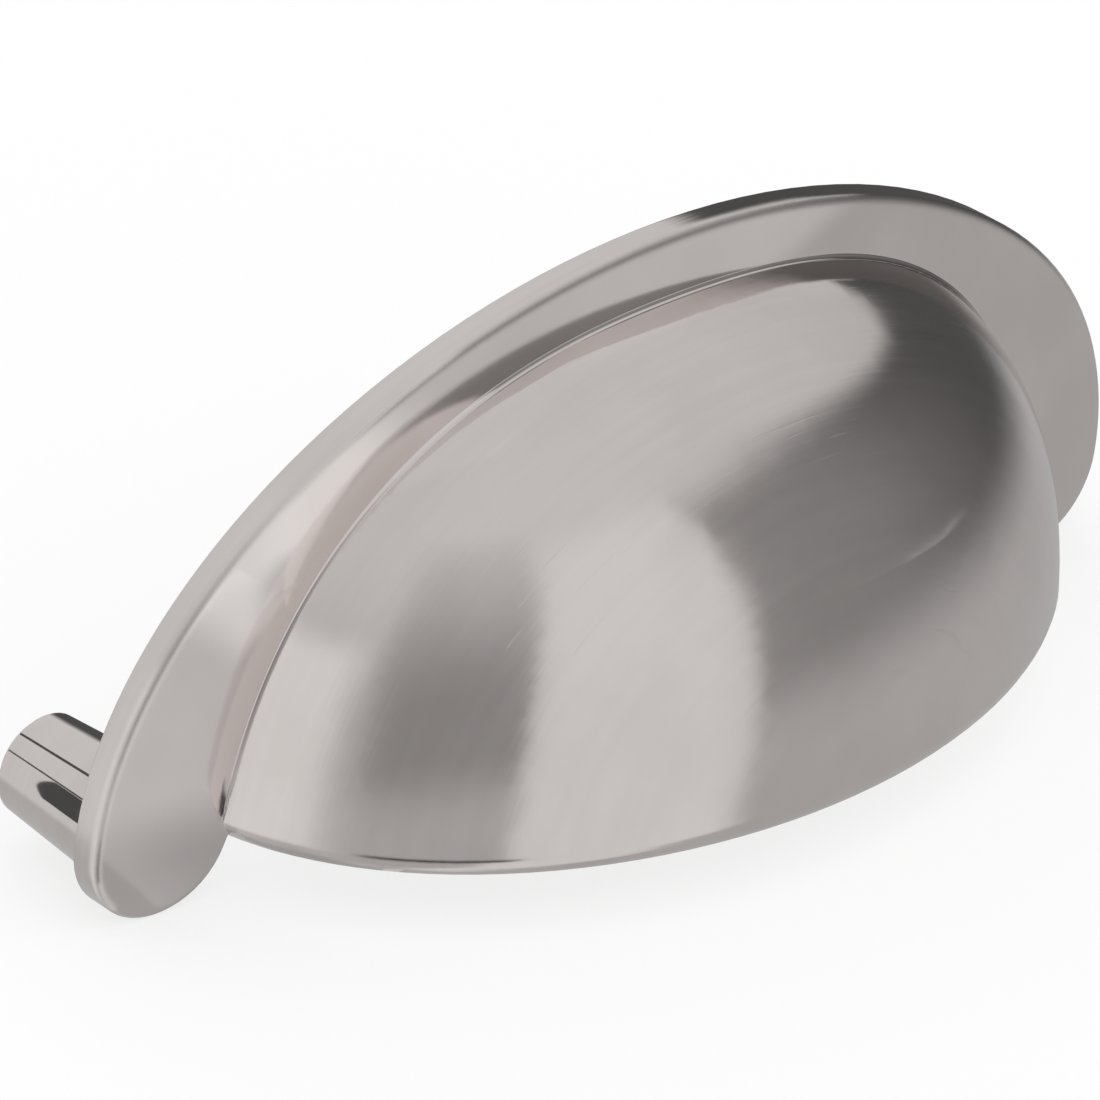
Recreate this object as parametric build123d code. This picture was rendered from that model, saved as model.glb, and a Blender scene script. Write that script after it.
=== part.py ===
import math
import os

from build123d import *

# Bin pull cast as one piece: a half oval flange with round end lobes, a hollow cup bulging out of it,
# and a tapered post behind each lobe that stands the flange off the drawer front.
# Millimetres. The posts end on the plane Y = 0, the front is towards -Y, and Z = 0 is the line of the posts.

# Posts and their tapped holes
post_spacing = 76.2
post_length = 8.7
post_shoulder = 1.05
post_draft = 0.6
post_tip_bevel = 0.3
hole_diameter = 3.3
hole_floor = 2.5
hole_tip_angle = 118.0
hole_mouth_chamfer = 0.4

# Flange
lobe_radius = 4.85
lobe_turn = 20.0
flange_height = 27.9
flange_edge = 1.8
flange_crown = 1.9
crown_spread = 2.0
rim_bevel = 0.2

# Cup
cup_depth = 22.6
cup_axis_behind = 1.3
cup_wall = 2.2
cup_fullness = 2.42
section_steps = 14
top_band = 3.7
lobe_overlap = 1.5
lip_drop = 1.35
lip_above_equator = 4.45
lip_rise = 1.45
lip_facets = 5
lip_flare = 0.3

# Values that follow from those above
half_spacing = post_spacing / 2
half_width = half_spacing + lobe_radius
lobe_inner = half_spacing - lobe_radius
post_root_radius = lobe_radius - post_shoulder
post_tip_radius = post_root_radius - post_draft
hole_radius = hole_diameter / 2
flange_back = -post_length
lip_z = -lip_drop
equator_z = lip_z - lip_above_equator
cup_half_width = lobe_inner + lobe_overlap
cup_height = flange_height - top_band - equator_z
cup_axis_y = flange_back + cup_axis_behind
cup_squeeze = cup_depth / cup_half_width


def half_section(inset, low_z):
    """Points up one face of the cup, moved in by inset, from low_z to the top, and how far the foot leans in."""
    half_x = cup_half_width - inset
    height = cup_height - inset
    power = 2 / cup_fullness
    first = math.asin(((low_z - equator_z) / height) ** (cup_fullness / 2))
    points = []
    for i in range(section_steps):
        angle = first + (math.pi / 2 - first) * i / section_steps
        r = half_x * math.cos(angle) ** power
        points.append((r, 0, equator_z + height * math.sin(angle) ** power))
    points.append((0, 0, equator_z + height))
    inward = half_x * math.cos(first) ** (power - 1) * math.sin(first) ** (2 - power)
    return points, math.atan2(inward, height * math.cos(first))


def smooth_wall(points, lean):
    return Spline(*points, tangents=[(-math.sin(lean), 0, math.cos(lean)), (-1, 0, 0)])


def turned(section):
    body = revolve(make_face(section), Axis.Z, 360)
    return Pos(0, cup_axis_y, 0) * scale(body, by=(1, cup_squeeze, 1))


# Cup as a full body with a rounded lip, cut off flush with the back of the flange
wall, lean = half_section(0, lip_z + lip_rise)
lip_round = lip_rise / (1 - math.sin(lean))
lip_turn = math.pi / 2 - lean
lip_points = []
for i in range(lip_facets + 1):
    angle = lip_turn * i / lip_facets
    r = wall[0][0] - lip_round * (math.cos(lean) - math.sin(angle))
    lip_points.append((r, 0, lip_z + lip_round * (1 - math.cos(angle))))
lip_centre = (0, 0, lip_z)
cup = turned([
    Line(lip_centre, wall[-1]),
    smooth_wall(wall, lean),
    *Polyline(*lip_points).edges(),
    Line(lip_points[0], lip_centre),
])
front_space = Pos(0, flange_back, 0) * Box(
    4 * half_width, 4 * cup_depth, 4 * half_width, align=(Align.CENTER, Align.MAX, Align.CENTER)
)
cup = cup & front_space

# Hollow of the cup, flared a little at the lip
wall, lean = half_section(cup_wall, lip_z + lip_flare)
flare_foot = (wall[0][0] + 2 * lip_flare, 0, lip_z - lip_flare)
hollow_foot = (0, 0, lip_z - lip_flare)
hollow = turned([
    Line(hollow_foot, wall[-1]),
    smooth_wall(wall, lean),
    Line(wall[0], flare_foot),
    Line(flare_foot, hollow_foot),
])

# Flange outline: half an oval that runs into the two lobes, closed by a line that stays inside the cup
turn = math.radians(lobe_turn)
lobe_end_x = half_spacing - lobe_radius * math.cos(turn)
lobe_end_z = -lobe_radius * math.sin(turn)
outline = make_face([
    EllipticalCenterArc((0, 0), half_width, flange_height, start_angle=0, arc_size=180),
    ThreePointArc((-half_width, 0), (-half_spacing, -lobe_radius), (-lobe_end_x, lobe_end_z)),
    Spline(
        (-lobe_end_x, lobe_end_z), (0, flange_height / 2), (lobe_end_x, lobe_end_z),
        tangents=[(math.sin(turn), math.cos(turn)), (math.sin(turn), -math.cos(turn))],
    ),
    ThreePointArc((lobe_end_x, lobe_end_z), (half_spacing, -lobe_radius), (half_width, 0)),
])

# Flange body under a gently crowned face, with a small bevel along its front rim
front_plane = Plane((0, flange_back, 0), x_dir=(1, 0, 0), z_dir=(0, -1, 0))
plate = extrude(front_plane * outline, 2 * (flange_edge + flange_crown))
crown_depth = flange_crown / (1 - math.sqrt(1 - 1 / crown_spread**2))
crown_y = flange_back - flange_edge - flange_crown + crown_depth
crown = Pos(0, crown_y, 0) * scale(
    Sphere(1), by=(crown_spread * half_width, crown_depth, crown_spread * flange_height)
)
flange = plate & crown
rim = flange.edges().filter_by(lambda e: e.bounding_box().max.Y < flange_back - flange_edge / 2)
flange = chamfer(rim, rim_bevel)

# Post with its blind hole
post_root_y = flange_back - flange_edge / 2
flare = post_draft / post_length
post_section = Polyline(
    (0, 0),
    (post_tip_radius - post_tip_bevel, 0),
    (post_tip_radius + flare * post_tip_bevel, -post_tip_bevel),
    (post_tip_radius - flare * post_root_y, post_root_y),
    (0, post_root_y),
    close=True,
)
post = revolve(make_face(post_section), Axis.Y, 360)
hole_tip = hole_radius / math.tan(math.radians(hole_tip_angle / 2))
hole_tip_y = flange_back - flange_edge + hole_floor
mouth_radius = hole_radius + hole_mouth_chamfer
hole_section = Polyline(
    (0, hole_mouth_chamfer),
    (mouth_radius + hole_mouth_chamfer, hole_mouth_chamfer),
    (hole_radius, -hole_mouth_chamfer),
    (hole_radius, hole_tip_y + hole_tip),
    (0, hole_tip_y),
    close=True,
)
hole = revolve(make_face(hole_section), Axis.Y, 360)

# The whole casting: cup on flange, hollowed out, then the posts and their holes
pull = flange + cup - hollow
for side in (-1, 1):
    pull = pull + Pos(side * half_spacing, 0, 0) * post
for side in (-1, 1):
    pull = pull - Pos(side * half_spacing, 0, 0) * hole
pull = pull.solids()[0]

os.makedirs("parts", exist_ok=True)
export_step(pull, "parts/pull_casting.step")
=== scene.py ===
import math

import bpy
from mathutils import Matrix, Vector


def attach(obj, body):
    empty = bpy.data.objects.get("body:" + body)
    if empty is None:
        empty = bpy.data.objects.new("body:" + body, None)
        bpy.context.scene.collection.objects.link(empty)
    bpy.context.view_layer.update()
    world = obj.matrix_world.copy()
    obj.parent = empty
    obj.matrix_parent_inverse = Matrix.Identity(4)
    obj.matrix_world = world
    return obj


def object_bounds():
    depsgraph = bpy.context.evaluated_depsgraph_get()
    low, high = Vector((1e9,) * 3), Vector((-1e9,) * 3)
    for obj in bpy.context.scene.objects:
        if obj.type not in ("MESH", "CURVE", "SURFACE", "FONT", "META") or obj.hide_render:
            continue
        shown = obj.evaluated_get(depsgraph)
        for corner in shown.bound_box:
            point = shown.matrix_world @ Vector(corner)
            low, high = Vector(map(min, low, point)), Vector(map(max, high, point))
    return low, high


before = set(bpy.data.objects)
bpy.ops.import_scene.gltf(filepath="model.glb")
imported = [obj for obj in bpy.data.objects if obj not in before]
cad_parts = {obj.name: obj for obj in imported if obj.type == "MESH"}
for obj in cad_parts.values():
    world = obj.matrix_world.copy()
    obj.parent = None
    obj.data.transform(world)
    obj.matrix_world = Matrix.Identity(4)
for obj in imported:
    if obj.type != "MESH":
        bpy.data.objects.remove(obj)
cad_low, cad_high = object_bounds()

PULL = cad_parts["pull_casting"]
MM = 0.001
WHITE = (1, 1, 1, 1)

# The casting's own curves, in millimetres: flange, crowned flange face, the cup's dome and the tapped holes
FLANGE_BACK_Y = -8.7
FLANGE_REACH = (42.95, 27.9)
CROWN_CENTRE = (0.0, 1.782, 0.0)
CROWN_REACH = (85.9, 14.182, 55.8)
DOME_CENTRE = (0.0, -7.4, -5.8)
DOME_REACH = (34.75, 22.6, 30.0)
DOME_POWER = 2.42
HOLE_X = 38.1
HOLE_RADIUS = 1.65
HOLE_DEPTH = 7.2

# Cove along the crease: its round, how high its ends stand, and how deep its edges and back are sunk
COVE_RADIUS = 0.34
COVE_FOOT = 0.25
COVE_EDGE_SINK = 0.006
COVE_BACK_SINK = 0.25
COVE_STEPS = 120
COVE_ARC = 4
COVE_END_STEPS = 3
CREASE_HALF_WIDTH = 33.0

# Screw thread: pitch, height, half widths of root and crest, and how deep its root is sunk
THREAD_PITCH = 0.7
THREAD_RISE = 0.2
THREAD_ROOT = 0.3
THREAD_CREST = 0.06
THREAD_SINK = 0.1
THREAD_START = 0.75
THREAD_TURNS = HOLE_DEPTH / THREAD_PITCH - 1.5
THREAD_STEPS = 16

# Camera: the photograph's viewing angle, a long lens with a small shift
AZIMUTH = -48.75
ELEVATION = 29.81
ROLL = 7.11
DISTANCE = 405.5 * MM
TARGET = Vector((0.0, FLANGE_BACK_Y * MM, 0.0))
LENS = 219.8
SHIFT = (-0.0538, 0.0750)

# Colour of the metal and brightness of the tent, its radius and the floor's half width in metres
TONE = (0.77, 0.72, 0.703)
TENT_LEVEL = 0.83
TENT_RADIUS = 1.0
FLOOR_HALF = 1.4
FLOOR_GLOW = 0.7

# Where the smaller cards lie, in millimetres
FLANGE_CARD_Z = 12.0
SIDE_CARD_X = -28
LOBE_SHADE_Z = -4.8
LIP_CARD_X = -50


def add_camera():
    a, e, r = (math.radians(v) for v in (AZIMUTH, ELEVATION, ROLL))
    back = Vector((math.sin(a) * math.cos(e), -math.cos(a) * math.cos(e), math.sin(e)))
    right = Vector((math.cos(a), math.sin(a), 0.0))
    up = back.cross(right)
    turned_right = right * math.cos(r) + up * math.sin(r)
    turned_up = up * math.cos(r) - right * math.sin(r)
    data = bpy.data.cameras.new("camera")
    data.lens = LENS
    data.sensor_width = 36.0
    data.shift_x, data.shift_y = SHIFT
    data.clip_start = 0.01
    cam = bpy.data.objects.new("camera", data)
    bpy.context.scene.collection.objects.link(cam)
    turn = Matrix((turned_right, turned_up, back)).transposed().to_4x4()
    cam.matrix_world = Matrix.Translation(TARGET + back * DISTANCE) @ turn
    bpy.context.scene.camera = cam


class Nodes:
    """Short calls that add nodes to a new material."""

    def __init__(self, name):
        self.mat = bpy.data.materials.new(name)
        self.mat.use_nodes = True
        self.tree = self.mat.node_tree
        self.tree.nodes.clear()

    def add(self, kind, values=None, **settings):
        node = self.tree.nodes.new(kind)
        for key, value in settings.items():
            setattr(node, key, value)
        for key, value in (values or {}).items():
            self.put(node.inputs[key], value)
        return node

    def put(self, socket, value):
        if isinstance(value, bpy.types.NodeSocket):
            self.tree.links.new(value, socket)
        else:
            socket.default_value = value

    def place(self):
        """Object coordinates."""
        return self.add("ShaderNodeTexCoord").outputs["Object"]

    def axes(self, vector):
        return self.add("ShaderNodeSeparateXYZ", {"Vector": vector}).outputs

    def math(self, operation, a, b=0.0):
        node = self.add("ShaderNodeMath", operation=operation)
        for socket, value in zip(node.inputs, (a, b)):
            self.put(socket, value)
        return node.outputs[0]

    def step(self, value, low, high):
        """0 below low and 1 above high, smooth between; low may be the larger for a falling step."""
        node = self.add("ShaderNodeMapRange", interpolation_type="SMOOTHSTEP")
        for name, item in (("Value", value), ("From Min", low), ("From Max", high)):
            self.put(node.inputs[name], item)
        return node.outputs[0]

    def rest(self, share):
        return self.math("SUBTRACT", 1.0, share)

    def blend(self, share, a, b):
        return self.plus(self.times(share, b), self.times(self.rest(share), a))

    def times(self, *items):
        total = items[0]
        for item in items[1:]:
            total = self.math("MULTIPLY", total, item)
        return total

    def plus(self, *items):
        total = items[0]
        for item in items[1:]:
            total = self.math("ADD", total, item)
        return total

    def mix(self, share, a, b):
        """Shader a with a share of shader b."""
        return self.add("ShaderNodeMixShader", {0: share, 1: a.outputs[0], 2: b.outputs[0]})

    def backfacing(self):
        return self.add("ShaderNodeNewGeometry").outputs["Backfacing"]

    def finish(self, shader):
        """Material that shows the shader."""
        out = self.add("ShaderNodeOutputMaterial")
        self.tree.links.new(shader.outputs[0], out.inputs[0])
        return self.mat


def nickel():
    """Satin nickel: soft brush marks that follow the arch, a few fine scratches, and bright polished posts."""
    n = Nodes("satin_nickel_finish")
    place = n.place()
    x, y, z = n.axes(place)
    polished = n.step(y, (FLANGE_BACK_Y + 0.05) * MM, (FLANGE_BACK_Y + 0.2) * MM)
    on_cup = n.step(y, -13 * MM, -15 * MM)

    def noise(scale, detail, turn=(0, 0, 0)):
        at = n.add("ShaderNodeMapping", {"Vector": place, "Scale": scale, "Rotation": turn})
        node = n.add("ShaderNodeTexNoise", {"Vector": at.outputs[0], "Scale": 1.0, "Detail": detail})
        return node.outputs["Fac"]

    brush = noise((140, 5200, 140), 3.0)
    wide_brush = noise((60, 1300, 60), 2.0)
    cloud = noise((95, 95, 95), 3.0)
    scuff = noise((420, 9000, 420), 2.0, turn=(0.5, 0.3, 0.7))
    # sparse hair lines in patches on the cup
    hair = n.step(noise((190, 7500, 260), 1.0, turn=(0.2, 0.25, 0.85)), 0.68, 0.72)
    hair = n.times(hair, on_cup, n.step(cloud, 0.48, 0.6))

    # the flange is smoother than the cup, and the posts are smoothest
    grain = n.plus(n.times(brush, 0.05), n.times(wide_brush, 0.04), n.times(cloud, 0.05))
    rough = n.plus(n.times(grain, n.blend(on_cup, 0.6, 1.0)), n.times(hair, 0.09), n.blend(on_cup, 0.03, 0.07))
    rough = n.blend(polished, rough, 0.045)
    mottle = n.step(n.plus(n.times(cloud, 0.7), n.times(wide_brush, 0.3)), 0.35, 0.65)
    tone = n.add("ShaderNodeMix", data_type="RGBA")
    n.put(tone.inputs["Factor"], mottle)
    n.put(tone.inputs[6], (TONE[0] * 0.96, TONE[1] * 0.955, TONE[2] * 0.95, 1))
    n.put(tone.inputs[7], (TONE[0] * 1.03, TONE[1] * 1.03, TONE[2] * 1.03, 1))

    height = n.plus(n.times(brush, 0.5), n.times(wide_brush, 0.8), n.times(scuff, 0.25), n.times(hair, -0.5))
    bump = n.add("ShaderNodeBump", {"Height": height, "Distance": 0.006 * MM})
    n.put(bump.inputs["Strength"], n.times(n.rest(polished), 0.45))
    # worn round edges: widest on the flange rim and lobes, hardly any in the crease
    out_x = n.math("POWER", n.math("DIVIDE", x, FLANGE_REACH[0] * MM), 2.0)
    out_z = n.math("POWER", n.math("DIVIDE", z, FLANGE_REACH[1] * MM), 2.0)
    near_rim = n.step(n.math("SQRT", n.plus(out_x, out_z)), 0.88, 0.93)
    on_lobe = n.step(n.math("ABSOLUTE", x), 34.6 * MM, 35.2 * MM)
    off_back = n.step(y, (FLANGE_BACK_Y - 0.2) * MM, (FLANGE_BACK_Y - 0.7) * MM)
    wear = n.times(n.math("MAXIMUM", near_rim, on_lobe), off_back)
    near_lip = n.step(z, 0.9 * MM, 0.4 * MM)
    radius = n.math("MAXIMUM", n.blend(wear, 0.1 * MM, 0.8 * MM), n.times(near_lip, 0.35 * MM))
    soft_edge = n.add("ShaderNodeBevel", {"Radius": radius}, samples=8)
    n.put(bump.inputs["Normal"], soft_edge.outputs[0])

    shader = n.add("ShaderNodeBsdfPrincipled", {"Metallic": 1.0, "Roughness": rough})
    n.put(shader.inputs["Base Color"], tone.outputs[2])
    n.put(shader.inputs["Normal"], bump.outputs[0])
    return n.finish(shader)


def tent_material():
    """White studio tent with grey and black cards hung on it, by direction from the object in degrees."""
    n = Nodes("tent_cards")
    n.mat.cycles.emission_sampling = "NONE"
    x, y, z = n.axes(n.add("ShaderNodeVectorMath", {0: n.place()}, operation="NORMALIZE").outputs[0])
    az = n.times(n.math("ARCTAN2", x, n.times(y, -1.0)), 180 / math.pi)
    el = n.times(n.math("ARCSINE", z), 180 / math.pi)
    level = n.blend(n.step(el, 25, 65), 0.72, 0.8)
    # left: a bright panel low at the side
    panel = n.times(n.step(az, -60, -74), n.step(el, 34, 23))
    level = n.blend(panel, level, 0.97)
    # grey card between the left panel and the front panel
    grey = n.blend(n.step(el, 12, 55), 0.36, 0.66)
    grey = n.blend(n.step(el, 0, -14), grey, 0.56)
    card = n.times(n.step(az, -68, -48), n.step(az, -15, -19), n.step(el, 64, 50))
    level = n.blend(card, level, grey)
    # right: black card, grey towards the front, with grey floor below it
    dark = n.blend(n.step(az, 30, 98), 0.33, 0.1)
    dark = n.blend(n.step(el, -16, 0), 0.55, dark)
    to_right = n.step(az, 50, 105)
    edge = n.blend(to_right, 44, 23)
    soft = n.blend(to_right, 9, 1.2)
    under_edge = n.step(el, n.plus(edge, soft), n.math("SUBTRACT", edge, soft))
    card = n.times(n.step(az, 22, 24.5), under_edge, n.step(az, 150, 125))
    level = n.blend(card, level, dark)
    # front: a bright upright panel
    panel = n.times(n.step(az, -19, -14), n.step(az, 24.5, 22), n.step(el, 60, 45))
    level = n.blend(panel, level, 0.9)
    # behind: a pale wall with a black card, and grey floor below
    wall = n.blend(n.step(el, -20, -30), 0.83, 0.62)
    card = n.times(n.step(az, 118, 122), n.step(az, 139, 134), n.step(el, -28, -24), n.step(el, 28, 24))
    wall = n.blend(card, wall, 0.1)
    level = n.blend(n.step(n.math("ABSOLUTE", az), 118, 124), level, wall)
    return n.finish(n.add("ShaderNodeEmission", {"Strength": n.times(level, TENT_LEVEL)}))


def show_in_metal_only(obj):
    obj.visible_camera = False
    obj.visible_diffuse = False
    obj.visible_shadow = False
    obj.visible_transmission = False


def add_tent():
    """Ball of cards around the object, as far off as in a small studio."""
    bpy.ops.mesh.primitive_uv_sphere_add(segments=64, ring_count=32, radius=TENT_RADIUS, location=TARGET)
    tent = bpy.context.object
    tent.name = "tent"
    tent.data.materials.append(tent_material())
    show_in_metal_only(tent)


def add_card(name, corners, mat):
    """Flat card, corners in millimetres, anticlockwise seen from its front."""
    mesh = bpy.data.meshes.new(name)
    mesh.from_pydata([tuple(v * MM for v in corner) for corner in corners], [], [tuple(range(len(corners)))])
    mesh.materials.append(mat)
    card = bpy.data.objects.new(name, mesh)
    bpy.context.scene.collection.objects.link(card)
    show_in_metal_only(card)


def even(level):
    """The same level all over a card."""
    return lambda n, x, y, z: level


def card_material(name, strength, shows):
    """Glow on the card's front, clear from behind. strength and shows take (nodes, x, y, z)."""
    n = Nodes(name)
    n.mat.cycles.emission_sampling = "NONE"
    place = n.axes(n.place())
    glow = n.add("ShaderNodeEmission", {"Color": WHITE, "Strength": strength(n, *place)})
    clear = n.add("ShaderNodeBsdfTransparent")
    return n.finish(n.mix(n.times(n.rest(n.backfacing()), shows(n, *place)), clear, glow))


def add_flange_card():
    """Pale card lying level before the cup, brighter on the left: it fills the top of the flange face."""
    def strength(n, x, y, z):
        return n.blend(n.step(x, -12 * MM, 3 * MM), 0.93, 0.59)

    def shows(n, x, y, z):
        past_cup = n.plus(y, n.times(x, 0.3), 26 * MM)
        sides = n.times(n.step(x, -40 * MM, -30 * MM), n.step(x, 62 * MM, 52 * MM))
        return n.times(sides, n.step(past_cup, 2 * MM, -2 * MM))

    corners = [(x, y, FLANGE_CARD_Z) for x, y in ((-60, -120), (64, -120), (64, -15), (-60, -15))]
    add_card("flange_card", corners, card_material("card_pale", strength, shows))


def add_side_card():
    """Upright card beside the cup, brighter at the top: it fills the flange face on the left."""
    def strength(n, x, y, z):
        return n.blend(n.step(z, 4.5 * MM, 9 * MM), 0.62, 0.84)

    def shows(n, x, y, z):
        return n.step(y, -13 * MM, -19 * MM)

    outline = ((-36, -16), (-36, 20), (-13, 20), (-13, 12.6), (-16.2, 6), (-18.5, -2), (-18.5, -16))
    corners = [(SIDE_CARD_X, y, z) for y, z in outline]
    add_card("side_card", corners, card_material("card_side", strength, shows))


def add_lobe_shade():
    """Shade on the table under the cup's corner, which the left lobe mirrors."""
    def shows(n, x, y, z):
        sides = n.times(n.step(x, -46 * MM, -30 * MM), n.step(x, -12 * MM, -20 * MM))
        return n.times(sides, n.step(y, -23 * MM, -15 * MM))

    corners = [(x, y, LOBE_SHADE_Z) for x, y in ((-48, -24), (-12, -24), (-12, -10.8), (-48, -10.8))]
    add_card("lobe_shade", corners, card_material("table_shade", even(0.4), shows))


def add_lip_card():
    """Dark card low on the left that draws the dark line along the lip."""
    def shows(n, x, y, z):
        return n.step(y, -31 * MM, -38 * MM)

    corners = [(LIP_CARD_X, y, z) for y, z in ((-150, -55), (-150, -123), (-31, -26), (-31, -12))]
    add_card("lip_card", corners, card_material("card_dark", even(0.07), shows))


def add_post_cards():
    """Narrow dark cards close behind the left post, which draw the fine dark lines along it."""
    mat = card_material("card_black", even(0.08), even(1.0))
    # name, (x, z) of the two long edges, and y of the two ends
    strips = (
        ("upper_strip", (-45.25, 22.2), (-47.15, 21.6), (13.5, 22.0)),
        ("middle_strip", (-58.37, 11.89), (-58.93, 10.83), (11.5, 22.5)),
        ("lower_strip", (-54.5, 8.4), (-55.7, -3.5), (6.4, 10.8)),
    )
    for name, one, two, (near, far) in strips:
        corners = [(x, y, z) for (x, z), y in ((two, near), (two, far), (one, far), (one, near))]
        add_card(name, corners, mat)


def add_floor():
    """White floor with a faint shadow, since part of its white is its own glow; clear from below."""
    mesh = bpy.data.meshes.new("floor")
    corners = [(x * FLOOR_HALF, y * FLOOR_HALF, cad_low[2]) for x, y in ((-1, -1), (1, -1), (1, 1), (-1, 1))]
    mesh.from_pydata(corners, [], [(0, 1, 2, 3)])
    floor = bpy.data.objects.new("floor", mesh)
    bpy.context.scene.collection.objects.link(floor)
    n = Nodes("white_floor")
    paint = n.add("ShaderNodeBsdfDiffuse", {"Color": WHITE})
    glow = n.add("ShaderNodeEmission", {"Color": WHITE, "Strength": 1.0})
    clear = n.add("ShaderNodeBsdfTransparent")
    mesh.materials.append(n.finish(n.mix(n.backfacing(), n.mix(FLOOR_GLOW, paint, glow), clear)))
    floor.visible_glossy = False


def add_piece(name, rows, sharp_columns):
    """Closed tube through rows of section points, millimetres, smooth except along the named columns."""
    count = len(rows[0])
    points = [tuple(v * MM for v in p) for row in rows for p in row]
    faces = []
    for i in range(len(rows) - 1):
        for j in range(count):
            k = (j + 1) % count
            faces.append((i * count + j, i * count + k, (i + 1) * count + k, (i + 1) * count + j))
    last = (len(rows) - 1) * count
    faces.append(tuple(range(count))[::-1])
    faces.append(tuple(last + j for j in range(count)))
    mesh = bpy.data.meshes.new(name)
    mesh.from_pydata(points, [], faces)
    mesh.polygons.foreach_set("use_smooth", [True] * len(faces))
    for edge in mesh.edges:
        a, b = edge.vertices
        if a % count == b % count and a % count in sharp_columns:
            edge.use_edge_sharp = True
    mesh.validate()
    mesh.materials.append(finish)
    piece = bpy.data.objects.new(name, mesh)
    bpy.context.scene.collection.objects.link(piece)
    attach(piece, "root")


def dome_share(p):
    """1 on the cup's outer face, less inside it."""
    x, y, z = ((v - c) / r for v, c, r in zip(p, DOME_CENTRE, DOME_REACH))
    return (x * x + y * y) ** (DOME_POWER / 2) + max(0.0, z) ** DOME_POWER


def dome_normal(p):
    small = 1e-4
    slope = []
    for axis in range(3):
        ahead, behind = list(p), list(p)
        ahead[axis] += small
        behind[axis] -= small
        slope.append(dome_share(ahead) - dome_share(behind))
    return Vector(slope).normalized()


def crown_y(x, z):
    """Depth of the flange's crowned face at a place in the outline."""
    left = 1 - (x / CROWN_REACH[0]) ** 2 - (z / CROWN_REACH[2]) ** 2
    return CROWN_CENTRE[1] - CROWN_REACH[1] * math.sqrt(left)


def crown_normal(p):
    slope = [(v - c) / (r * r) for v, c, r in zip(p, CROWN_CENTRE, CROWN_REACH)]
    return Vector(slope).normalized()


def crease_point(angle):
    """Where the cup's outer face leaves the flange face, along a ray from the middle of the cup."""
    near, far = 10.0, 40.0
    for _ in range(60):
        reach = (near + far) / 2
        x, z = reach * math.cos(angle), reach * math.sin(angle)
        if dome_share((x, crown_y(x, z), z)) < 1:
            near = reach
        else:
            far = reach
    return Vector((x, crown_y(x, z), z))


def add_cove():
    """Small concave round along the crease between cup and flange, its back sunk in the metal."""
    foot = math.asin(COVE_FOOT / CREASE_HALF_WIDTH)
    rows = []
    for i in range(COVE_STEPS + 1):
        p = crease_point(foot + (math.pi - 2 * foot) * i / COVE_STEPS)
        on_dome, on_crown = dome_normal(p), crown_normal(p)
        along = on_crown.cross(on_dome).normalized()
        up_dome = on_dome.cross(along)
        if up_dome.dot(on_crown) < 0:
            up_dome.negate()
        off_crown = on_crown.cross(along)
        if off_crown.dot(on_dome) < 0:
            off_crown.negate()
        half = up_dome.angle(off_crown) / 2
        grown = min(1.0, i / COVE_END_STEPS, (COVE_STEPS - i) / COVE_END_STEPS)
        radius = COVE_RADIUS * (0.25 + 0.75 * grown)
        mid = (up_dome + off_crown).normalized()
        side = (up_dome - off_crown).normalized()
        centre = p + mid * (radius / math.sin(half))
        span = math.pi / 2 - half
        row = []
        for j in range(COVE_ARC + 1):
            a = span * (1 - 2 * j / COVE_ARC)
            row.append(centre - mid * radius * math.cos(a) + side * radius * math.sin(a))
        row[0] = row[0] - on_dome * COVE_EDGE_SINK
        row[-1] = row[-1] - on_crown * COVE_EDGE_SINK
        row.append(p - mid * COVE_BACK_SINK)
        rows.append(row)
    add_piece("crease_cove", rows, (0, COVE_ARC, COVE_ARC + 1))


def add_threads():
    """Screw thread standing in each tapped hole, its root sunk in the wall of the bore."""
    steps = round(THREAD_STEPS * THREAD_TURNS)
    fade_steps = THREAD_STEPS / 2
    root = HOLE_RADIUS + THREAD_SINK
    for name, side in (("left_thread", -1), ("right_thread", 1)):
        rows = []
        for i in range(steps + 1):
            a = 2 * math.pi * i / THREAD_STEPS
            y = -THREAD_START - THREAD_PITCH * i / THREAD_STEPS
            grown = min(1.0, i / fade_steps, (steps - i) / fade_steps)
            crest = HOLE_RADIUS - THREAD_RISE * grown + 0.02
            section = ((root, THREAD_ROOT), (crest, THREAD_CREST), (crest, -THREAD_CREST), (root, -THREAD_ROOT))
            rows.append([(side * HOLE_X + r * math.cos(a), y + shift, r * math.sin(a)) for r, shift in section])
        add_piece(name, rows, (0, 1, 2, 3))


add_camera()
finish = nickel()
for slot in PULL.material_slots:
    slot.material = finish
add_cove()
add_threads()
add_tent()
add_flange_card()
add_side_card()
add_lobe_shade()
add_lip_card()
add_post_cards()
add_floor()

world = bpy.data.worlds.new("studio")
bpy.context.scene.world = world
world.use_nodes = True
world.node_tree.nodes["Background"].inputs["Color"].default_value = WHITE

bpy.context.scene.view_settings.view_transform = "Standard"
